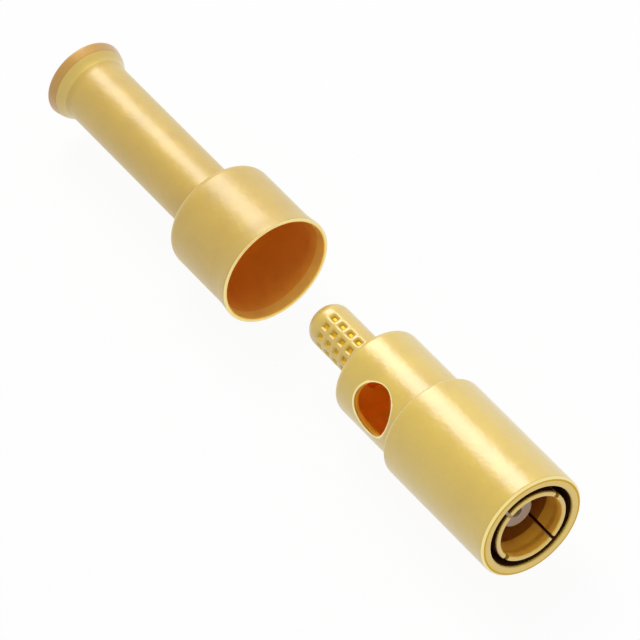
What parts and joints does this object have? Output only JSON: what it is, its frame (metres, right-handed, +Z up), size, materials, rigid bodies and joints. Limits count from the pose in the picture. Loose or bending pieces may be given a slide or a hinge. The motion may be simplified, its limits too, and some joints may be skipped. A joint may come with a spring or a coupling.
{
  "type": "coaxial crimp plug",
  "caption": "Gold-plated push-on coaxial crimp plug with a slotted spring socket, solder window and pitted stem, and its loose crimp ferrule.",
  "frame": {"origin": "centre of the mating face, on the connector's axis, level with the front of the sleeve and of the spring fingers", "axes": "+X along the connector's axis out of the mating end, +Z up with the connector lying on its side, solder window towards -Y and a little up"},
  "size_m": [0.0396, 0.0064, 0.0064],
  "materials": {
    "gold_plated_brass": "satin gold plate over turned brass",
    "gold_plated_spring_copper": "satin gold plate over hardened copper alloy",
    "gold_plated_soft_copper": "satin gold plate over annealed copper",
    "white_insulator": "matt white fluoropolymer"
  },
  "bodies": {
    "plug": {"plug_body": "gold_plated_brass", "spring_basket": "gold_plated_spring_copper", "front_insulator": "white_insulator", "rear_insulator": "white_insulator", "centre_contact": "gold_plated_spring_copper"},
    "ferrule": {"crimp_ferrule": "gold_plated_soft_copper"}
  },
  "joints": [
    {"name": "ferrule_slide", "type": "slide", "parent": "plug", "child": "ferrule", "axis": [1, 0, 0], "range_m": [0, 0.0135]}
  ]
}
